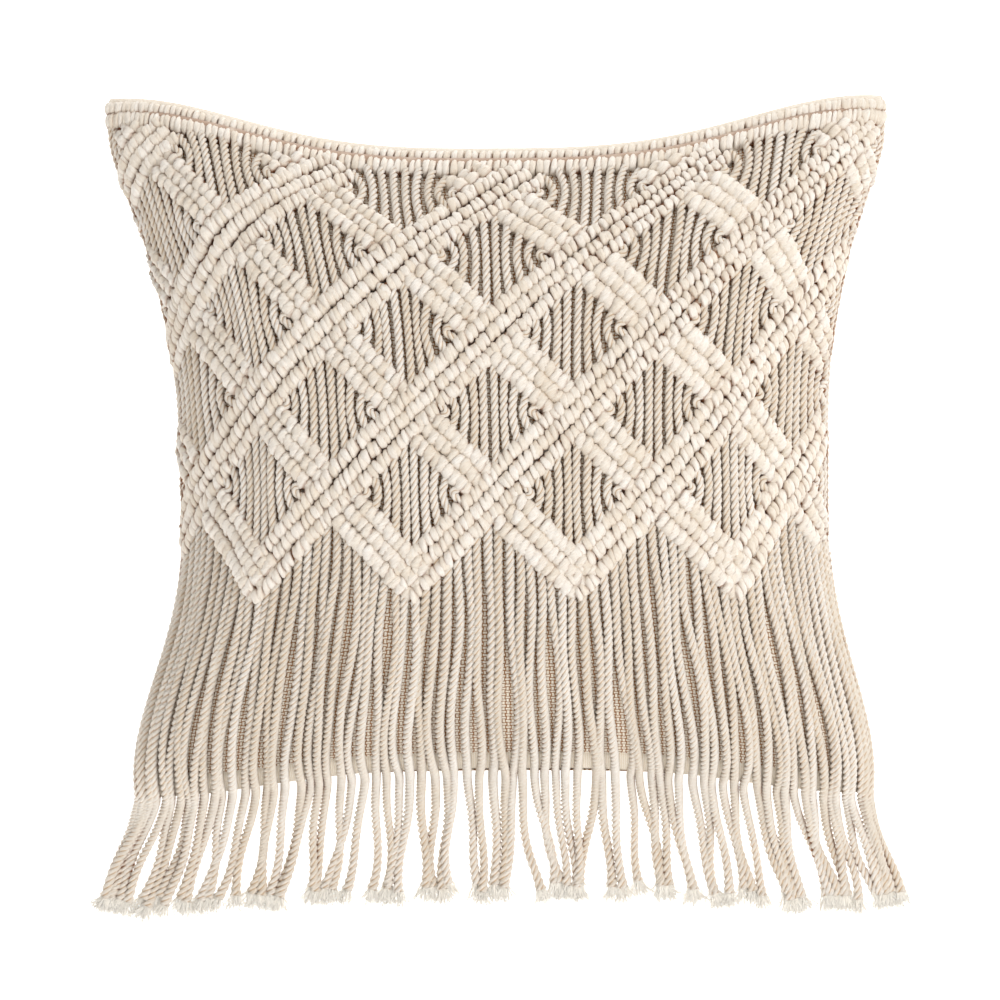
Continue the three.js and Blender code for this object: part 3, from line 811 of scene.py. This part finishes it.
def lozengeStrands():
    # each column crosses a lozenge from the knots above it to the knots below
    style, period, row = strandStyle, lattice["halfPeriod"], lattice["row"]
    hidden = lattice["bandHalf"] * math.hypot(period, row) / period - style["under"]
    found = []
    for mc in range(-5, 6):
        for nc in range(-1, lattice["lastRow"]):
            if (mc + nc) % 2 == 0:
                continue
            for k in range(-6, 6):
                du = (k + 0.5) * (style["spacing"] + style["loosening"] * abs(k + 0.5))
                middle = lattice["firstRow"] + nc * row
                u = mc * period + du + float(patternLean(middle))
                half = (1 - abs(du) / period) * row - hidden
                top, bottom = max(middle - half, style["top"]), middle + half
                if abs(u) <= halfFlat - style["side"] and bottom - top >= style["shortest"]:
                    found.append((u, du / period, top, bottom))
    return np.array(found)


def addStrands():
    upper, lower = [], []
    found = lozengeStrands()
    length = found[:, 3] - found[:, 2]
    for low, high in strandStyle["lengthGroups"]:
        some = found[(length >= low) & (length < high)]
        share = np.linspace(0, 1, high)[None]  # about a point a millimetre
        u, side, top, bottom = (some[:, i:i + 1] for i in range(4))
        bow = np.sin(math.pi * share)
        waist = strandStyle["waist"] * np.sign(side) * np.abs(side) ** 1.2 * bow ** 1.3
        sway = rng.normal(0, 0.35, u.shape) * bow
        height = strandStyle["height"] + 0.9 * bow * rng.uniform(0, 1, u.shape)
        centres, out = onFront(u - waist + sway, lerp(top, bottom, share), height)
        radius = strandStyle["radius"] * rng.normal(1, 0.03, u.shape)
        tone = rng.uniform(0, 1, len(some))
        above = top[:, 0] < strandStyle["upperUntil"]
        for half, mine in ((upper, above), (lower, ~above)):
            if mine.any():
                half.append(cordsAlong(centres[mine], out[mine], radius[mine], tone[mine]))
    side = np.array([[-1], [-1], [1], [1]])
    far = np.array(selvedge["from"] * 2)[:, None]
    v = np.linspace(*selvedge["span"], selvedge["points"]) * np.ones((4, 1))
    sway = 0.72 * np.sin(v / 23 + 2 * far) + 0.48 * np.sin(v / 11 + far)
    centres, out = onFront(side * (far + sway), v, selvedge["height"])
    lower.append(cordsAlong(centres, out, selvedge["radius"], rng.uniform(0, 1, 4)))
    return [
        newPiece("upperLozengeCords", upper, cotton, replaced=["macrame_strands"]),
        newPiece("lowerLozengeCords", lower, cotton, replaced=["macrame_strands"]),
    ]


knotted += addStrands()
print("lozenge cords ready")

# Fringe: every cord comes out from under the zigzag, lies on the cushion and falls over the seam

fringeStyle = {
    "cords": 76, "radius": 2.75, "reach": 73, "reachLoss": 12, "landing": 0.72, "splay": (0.125, 0.10),
    "onPoints": 130, "freePoints": 90, "height": 3.2, "ground": 3.0, "sway": 1.3, "spread": 3.0,
    "swayShort": 19, "swayLong": 47, "groupOdds": 0.55, "layerOdds": 0.55, "layer": 4.0, "bendWaves": 5.5,
    "under": 20, "gather": 0.4, "bend": 3.2, "bendPoints": 24, "bendPasses": 50, "flare": 0.3, "locks": 10,
}
# The combed ends: fibres about 0.6 mm thick stand for tufts of far finer ones, too fine to show
tuftStyle = {
    "fibres": 70, "points": 6, "length": 10, "inside": 4, "spread": 3.8, "rim": 2.0, "radius": 0.3,
    "lowest": 0.4, "flattening": 0.2, "curl": 0.9,
}


def zigzagHeight(u):
    phase = np.abs((np.abs((u - patternLean(300)) / lattice["halfPeriod"]) % 2) - 1)
    tip = lattice["firstRow"] + lattice["lastRow"] * lattice["row"]
    depth = lattice["tipDepth"]
    return tip + depth - (lattice["row"] - lattice["lozengeHalf"] + depth) * phase


def fringePaths():
    f = fringeStyle
    count = f["cords"]
    u0 = (np.linspace(3 - halfFlat, halfFlat - 3, count) + rng.normal(0, 0.5, count))[:, None]
    top = zigzagHeight(u0) - f["under"]
    on = np.linspace(0, 1, f["onPoints"])[None]
    free = np.linspace(0, 1, f["freePoints"] + 1)[None, 1:]
    phase = rng.uniform(0, 2 * math.pi, (3, count, 1))
    v = lerp(top, cushion["flatHeight"], on)
    waves = np.sin(v / f["swayShort"] + phase[0]) * 0.8 + np.sin(v / f["swayLong"] + phase[1]) * 1.2
    lift = (np.arange(count) % 2)[:, None] * 1.0 + rng.uniform(0, 0.8, (count, 1))
    uOn = u0 + f["sway"] * waves * smoothStep(on * 3)
    centres, out = onFront(uOn, v, f["height"] + lift * smoothStep(on * 2))
    last, lastOut = centres[:, -1:], out[:, -1:]
    fall = np.maximum(0, 1 - free / f["landing"]) ** 2
    reach = f["reach"] - f["reachLoss"] * (2 * u0 / cushion["flatWidth"]) ** 2
    reach = reach * rng.normal(0.97, 0.025, (count, 1))
    # neighbours lean together in twos and threes, and some cross
    group = np.cumsum(rng.uniform(0, 1, count) > f["groupOdds"])
    middle = np.array([last[group == g, 0, 0].mean() for g in group])[:, None]
    drift = (middle - last[..., 0]) * f["gather"] + rng.normal(0, 1, (count, 1)) * f["spread"]
    waves = np.sin(free * f["bendWaves"] + phase[2]) - np.sin(phase[2])
    sway = f["bend"] * rng.uniform(0.4, 1, (count, 1)) * waves
    splay = np.where(last[..., 0] < 0, *f["splay"])
    x = last[..., 0] * (1 + splay * free) + drift * free ** 1.5 + sway * free
    y = last[..., 1] - reach * free
    layer = (rng.uniform(0, 1, (count, 1)) > f["layerOdds"]) * f["layer"] + rng.uniform(0, 0.8, (count, 1))
    ground = f["ground"] + layer * (1 - 0.75 * free ** 3)
    z = lerp(ground, last[..., 2], fall)
    freeCentres = np.stack([x, y, z], -1)
    up = np.array([0, 0, 1.0])
    freeOut = unit(lerp(lastOut, up, smoothStep(free / 0.4)[..., None]))
    path, out = np.concatenate([centres, freeCentres], 1), np.concatenate([out, freeOut], 1)
    # no kink where the cords leave the cushion
    edge = slice(f["onPoints"] - f["bendPoints"], f["onPoints"] + f["bendPoints"])
    for again in range(f["bendPasses"]):
        for line in (path, out):
            before, after = line[:, edge.start - 1:edge.stop - 1], line[:, edge.start + 1:edge.stop + 1]
            line[:, edge] = (line[:, edge] + before + after) / 3
    return path, unit(out), u0[:, 0]


def tuftFibres(ends, ways):
    # the last of each cord, untwisted into a flat broom
    f = tuftStyle
    count, per = len(ends), f["fibres"]
    up = np.array([0, 0, 1.0])
    way = np.repeat(unit(ways * (1, 1, f["flattening"])), per, 0)
    start = np.repeat(ends, per, 0)
    across = unit(np.cross(way, up))
    n = count * per
    angle = rng.uniform(0, 2 * math.pi, n)
    rim = np.sqrt(rng.uniform(0, 1, n)) * f["rim"]
    first = start + across * (rim * np.cos(angle))[:, None] + up * (rim * np.sin(angle) * 0.8)[:, None]
    fan = rng.normal(0, 1, n) * f["spread"]
    reach = f["length"] * rng.uniform(0.55, 1.05, n)
    drop = rng.uniform(0.3, 2.6, n)
    share = np.linspace(0, 1, f["points"])[None]
    curl = rng.normal(0, f["curl"], (n, 1)) * np.sin(share * 5 + angle[:, None])
    side = (rim * np.cos(angle))[:, None] * 0.6 * share + fan[:, None] * share ** 1.6 + curl * share
    along = (reach + f["inside"])[:, None] * share - f["inside"]
    points = first[:, None] + way[:, None] * along[..., None] + across[:, None] * side[..., None]
    points[..., 2] = np.maximum(lerp(points[..., 2], drop[:, None], share ** 0.8), f["lowest"])
    radius = f["radius"] * (1.1 - 0.5 * share)
    tone = np.repeat(rng.uniform(0, 0.3, count), per)
    return sweep(points, np.broadcast_to(up, points.shape), radius, radius, np.ones(3), None, tone)


def addFringe():
    paths, out, u0 = fringePaths()
    tone = rng.uniform(0, 1, len(paths))
    radius = fringeStyle["radius"] * rng.normal(1, 0.04, (len(paths), 1)) * np.ones(paths.shape[1])
    # each cord loosens in its last few millimetres
    radius = radius * (1 + fringeStyle["flare"] * np.linspace(0, 1, paths.shape[1]) ** 30)
    paths[..., 2] = np.maximum(paths[..., 2], 1.02 * radius + 0.1)
    locks = fringeStyle["locks"]
    lock = np.clip(np.floor(u0 / lattice["halfPeriod"]) + locks // 2, 0, locks - 1).astype(int)
    for k in range(locks):
        mine = lock == k
        parts = [cordsAlong(paths[mine], out[mine], radius[mine], tone[mine])]
        ends = paths[mine][:, -1]
        knotted.append(newPiece(f"fringeLock{k + 1}", parts, cotton, replaced=[f"fringe_lock_{k + 1}"]))
        newPiece(f"fringeEnds{k + 1}", [tuftFibres(ends, ends - paths[mine][:, -6])], fray)
    length = lengthAlong(paths)[:, -1]
    print("fringe ready: cords", len(paths), "from", round(length.min()), "to", round(length.max()), "mm")


addFringe()

# Cover: the woven front under the knots, and the two back panels beside the zip

coverStyle = {
    "thickness": 0.9, "gridSteps": 150, "seamShare": 0.004, "clear": 0.1, "backRows": 130, "facingRows": 24,
}
hemStyle = {"depth": 30, "over": 0.05, "height": 1.2, "waveLength": 9, "wave": 0.15}
# How far the pad's case and the filling lie inside the cover, and how much they rise and hang
padStyle = {
    "gridSteps": 60, "flat": 430,
    "case": {"inset": 10, "half": 2.2, "rise": 82.5, "depth": 66, "lift": 1.3, "zipRoom": 5.6},
    "filling": {"inset": 12.6, "half": 0, "rise": 81.5, "depth": 64.5, "lift": 3, "zipRoom": 9},
}


def alongCloth(shares, part):
    # distance from the middle, measured on the cloth, as a share of half the cloth
    return np.sign(part) * np.interp(np.abs(part), shares[1], shares[0])


def clothSheet(name, points, s, t, replaced, flip):
    u = alongCloth(acrossShares, 2 * s - 1) * halfFlat
    v = alongCloth(downShares, 1 - 2 * t) * cushion["flatHeight"] / 2
    flat = {"flat": np.stack([u, v, np.zeros_like(u)], -1)}
    piece = newPiece(name, [gridPart(points, flat, flip=flip)], baseWeave, replaced=replaced)
    solid = piece.modifiers.new("thickness", "SOLIDIFY")
    solid.thickness = coverStyle["thickness"] / 1000
    solid.offset = -1
    return piece


def toSeam(points, s, t, side):
    # the edges of both sheets are turned in to one seam line
    rim = np.minimum(np.minimum(s, 1 - s), np.minimum(t, 1 - t))
    near = (1 - smoothStep(rim / coverStyle["seamShare"]))[..., None]
    seam = points.copy()
    seam[..., 2] = seamZ(s, t) + side * coverStyle["thickness"] / 2
    return lerp(points, seam, near)


def addFrontCloth():
    n = coverStyle["gridSteps"]
    share = crowdedShares(n)
    s, t = np.meshgrid(share, share, indexing="ij")
    return clothSheet("frontCloth", toSeam(frontCloth(s, t), s, t, 1), s, t, ["cover_front_cloth"], False)


def addBackPanels():
    n = coverStyle["gridSteps"]
    share = crowdedShares(n)
    pieces = []
    x = planPoint(share, np.full_like(share, 0.05))[0]
    inSlot = smoothStep((zipPlace["length"] / 2 - np.abs(x)) / 2 + 0.5)
    gap = lerp(zipPlace["closedHalf"], zipPlace["slotHalf"], inSlot)
    lowT, highT = tAtZip(share, gap), tAtZip(share, -gap)
    spans = (
        ("backPanel", "cover_back_panel", highT, np.ones_like(share), coverStyle["backRows"]),
        ("zipFacing", "cover_zip_facing", np.zeros_like(share), lowT, coverStyle["facingRows"]),
    )
    for name, node, first, last, rows in spans:
        part = np.linspace(0, 1, rows + 1)
        if name == "backPanel":
            part = np.sin(math.pi / 2 * part)
        s = np.repeat(share[:, None], rows + 1, 1)
        t = lerp(first[:, None], last[:, None], part[None])
        points = toSeam(backCloth(s, t, lift=coverStyle["clear"]), s, t, -1)
        pieces.append(clothSheet(name, points, s, t, [node], True))
    return pieces


def addPad():
    share = crowdedShares(padStyle["gridSteps"])
    s, t = np.meshgrid(share, share, indexing="ij")
    flat = {"flat": np.stack([s - 0.5, 0.5 - t, np.zeros_like(s)], -1) * padStyle["flat"]}
    pieces = []
    for name, key, material, replaced in (
        ("padCase", "case", calico, ["insert_case_front", "insert_case_back"]),
        ("padFilling", "filling", fibreFill, ["insert_filling"]),
    ):
        layer = dict(padStyle[key])
        front = frontCloth(s, t, inset=layer["inset"], half=layer["half"], rise=layer.pop("rise"))
        back = backCloth(s, t, **layer)
        pieces.append(newPiece(name, [gridPart(front, flat), gridPart(back, flat, flip=True)], material,
                               replaced=replaced))
    return pieces


def addHem():
    # the turned edge of the base cloth along the bottom seam, pressed flat and smooth
    h = hemStyle
    across = np.linspace(-1, 1, 161) * (halfFlat - 2)
    down = cushion["flatHeight"] - h["depth"] * np.linspace(1, -h["over"], 15)
    u, v = np.meshgrid(across, down, indexing="ij")
    share = np.linspace(0, 1, 15)[None]
    height = h["height"] * np.sin(math.pi * share) ** 0.35 + h["wave"] * np.sin(u / h["waveLength"])
    points, out = onFront(u, np.minimum(v, cushion["flatHeight"]), height)
    flat = {"flat": np.stack([u, v, np.zeros_like(u)], -1), "paintedShade": np.zeros_like(u)}
    return newPiece("hemBand", [gridPart(points, flat)], hemCloth)


knotted.append(addHem())
frontSheet = addFrontCloth()
backPanel, zipFacing = addBackPanels()
padCase, padFilling = addPad()
print("cover and pad ready")

# Crevices: painted shade from how far each point of the knots and the cloth lies below what is around it

# pressed weighs the painted shade given by the knots' own shapes; the cloth values set the painted shade on
# the cloth
creviceShade = {
    "cell": 0.6, "margin": 5, "around": 3.0, "start": -0.6, "full": 2.6, "clothStart": 4.5, "clothFull": 12.0,
    "clothMost": 0.3, "pressed": 0.7, "edgeStart": 0.55, "edgeFull": 0.85,
}


def boxBlur(values, reach):
    for axis in (0, 1):
        padded = np.concatenate([np.zeros_like(values.take([0], axis)), values.cumsum(axis)], axis)
        size = values.shape[axis]
        high = np.minimum(np.arange(size) + reach + 1, size)
        low = np.maximum(np.arange(size) - reach, 0)
        values = padded.take(high, axis) - padded.take(low, axis)
    return values


def shadeCrevices(pieces, cloth):
    clouds = [meshPoints(piece.data) for piece in pieces]
    low = np.min([c[:, :2].min(0) for c in clouds], 0) - creviceShade["margin"]
    high = np.max([c[:, :2].max(0) for c in clouds], 0) + creviceShade["margin"]
    shape = tuple(((high - low) / creviceShade["cell"]).astype(int) + 1)
    top = np.full(shape, -1.0)
    for cloud in clouds:
        i, j = ((cloud[:, :2] - low) / creviceShade["cell"]).astype(int).T
        np.maximum.at(top, (i, j), cloud[:, 2])
    known = (top > -0.5).astype(float)
    reach = int(creviceShade["around"] / creviceShade["cell"] / 2)
    total, weight = np.where(known > 0, top, 0), known
    for again in range(2):
        total, weight = boxBlur(total, reach), boxBlur(weight, reach)
    level = total / np.maximum(weight, 1e-6)
    level[weight < 1] = -50
    # little happens at an outer edge, where there is nothing beside a cord
    edge = creviceShade["edgeFull"] - creviceShade["edgeStart"]
    within = smoothStep((weight / weight.max() - creviceShade["edgeStart"]) / edge)
    for piece, cloud, start, full in (
        [(p, c, creviceShade["start"], creviceShade["full"]) for p, c in zip(pieces, clouds)]
        + [(cloth, meshPoints(cloth.data), creviceShade["clothStart"], creviceShade["clothFull"])]
    ):
        i, j = ((cloud[:, :2] - low) / creviceShade["cell"]).astype(int).clip(0, np.array(shape) - 1).T
        below = level[i, j] - cloud[:, 2]
        paintedShade = np.clip((below - start) / (full - start), 0, 1)
        facing = np.empty(len(cloud) * 3, np.float32)
        piece.data.vertex_normals.foreach_get("vector", facing)
        # the cloth's painted shade is capped and kept to faces turned up; the knots add the painted shade
        # their shapes gave and lose it on faces turned down
        layer = piece.data.attributes.get("paintedShade")
        if layer is None:
            layer = piece.data.attributes.new("paintedShade", "FLOAT", "POINT")
            paintedShade *= creviceShade["clothMost"] * smoothStep((facing[2::3] - 0.2) / 0.4)
        else:
            pressed = np.empty(len(cloud), np.float32)
            layer.data.foreach_get("value", pressed)
            paintedShade = np.clip(paintedShade + creviceShade["pressed"] * pressed, 0, 1)
            paintedShade *= smoothStep((facing[2::3] + 0.35) / 0.5)
        layer.data.foreach_set("value", (paintedShade * within[i, j]).astype(np.float32))


shadeCrevices(knotted, frontSheet)
print("crevices shaded")

# Zip: two nylon coils, each a real helix, on woven tapes, with plated slider, stops and pull tab

# Coils of 1.5 mm pitch, coarser than the 1.2 mm of a real one, which would be too fine to show
coilStyle = {
    "pitch": 1.5, "start": 0.8, "near": 0.35, "far": 2.9, "half": 0.75, "wire": 0.34, "pointsPerTurn": 10,
}


def zipPoint(x, u, n):
    axes = np.array([(1.0, 0, 0), zipFrame["across"], zipFrame["out"]])
    return zipFrame["origin"] + np.stack([x, u, n], -1) @ axes


def addCoil(name, side, node):
    c = coilStyle
    half = zipPlace["length"] / 2 - zipPlace["stopRoom"]
    turns = int(2 * half / c["pitch"]) - 1
    angle = np.linspace(0, 2 * math.pi * turns, turns * c["pointsPerTurn"])
    x = c["start"] - half + c["pitch"] * (angle / (2 * math.pi) + (0.5 if side > 0 else 0))
    u = side * (lerp(c["near"], c["far"], 0.5) - 0.5 * (c["far"] - c["near"]) * np.cos(angle))
    n = c["half"] * np.sin(angle)
    centres = zipPoint(x, u, n)[None]
    reference = np.broadcast_to(np.array([1.0, 0, 0]), centres.shape)
    part = sweep(centres, reference, c["wire"], c["wire"], np.ones(6))
    return newPiece(name, [part], nylon, replaced=[node])


upperCoil = addCoil("upperCoil", 1, "zip_coil_upper")
lowerCoil = addCoil("lowerCoil", -1, "zip_coil_lower")

for material, nodes in (
    (nickel, ("zip_slider", "zip_pull_tab", "zip_stop_left", "zip_stop_right")),
    (tapeWeave, ("zip_tape_upper", "zip_tape_lower")),
):
    for node in nodes:
        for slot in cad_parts[node].material_slots:
            slot.material = material
print("zip ready")

# Floor, light and surroundings

studio = {
    "floor": "#fbfbfa", "floorHalf": 12, "floorGlow": 0.9, "world": 0.6,  # the floor's half in metres
    "key": {"at": (1050, -150, 1600), "size": 1.5, "power": 19},
    "fill": {"at": (-300, -1500, 1000), "size": 1.6, "power": 9},
    "back": {"at": (100, 1500, 1000), "size": 1.6, "power": 7},
}


def addStudio():
    mesh = bpy.data.meshes.new("floor")
    half = studio["floorHalf"]
    corners = [(-half, -half, 0), (half, -half, 0), (half, half, 0), (-half, half, 0)]
    mesh.from_pydata(corners, [], [(0, 1, 2, 3)])
    floor = addObject("floor", mesh)
    material, tree = newMaterial("matt white studio paper")
    grain = noise(tree, 900, 2)
    finishMaterial(tree, {
        "Base Color": srgb(studio["floor"]), "Roughness": 0.9, "Normal": bumpFrom(tree, grain, 0.03, 0.0003),
        "Emission Color": (1, 1, 1, 1), "Emission Strength": studio["floorGlow"],
    })
    mesh.materials.append(material)
    world = bpy.data.worlds.new("studio")
    world.use_nodes = True
    back = world.node_tree.nodes["Background"]
    back.inputs["Color"].default_value = (1, 1, 1, 1)
    back.inputs["Strength"].default_value = studio["world"]
    bpy.context.scene.world = world
    for name in ("key", "fill", "back"):
        lamp = studio[name]
        data = bpy.data.lights.new(name, "AREA")
        data.shape = "DISK"
        data.size = lamp["size"]
        data.energy = lamp["power"]
        light = addObject(name, data)
        light.location = [c / 1000 for c in lamp["at"]]
        aim = light.location.normalized()
        light.rotation_euler = aim.to_track_quat("Z", "Y").to_euler()


addStudio()
bpy.context.scene.view_settings.view_transform = "Standard"
print("studio ready")
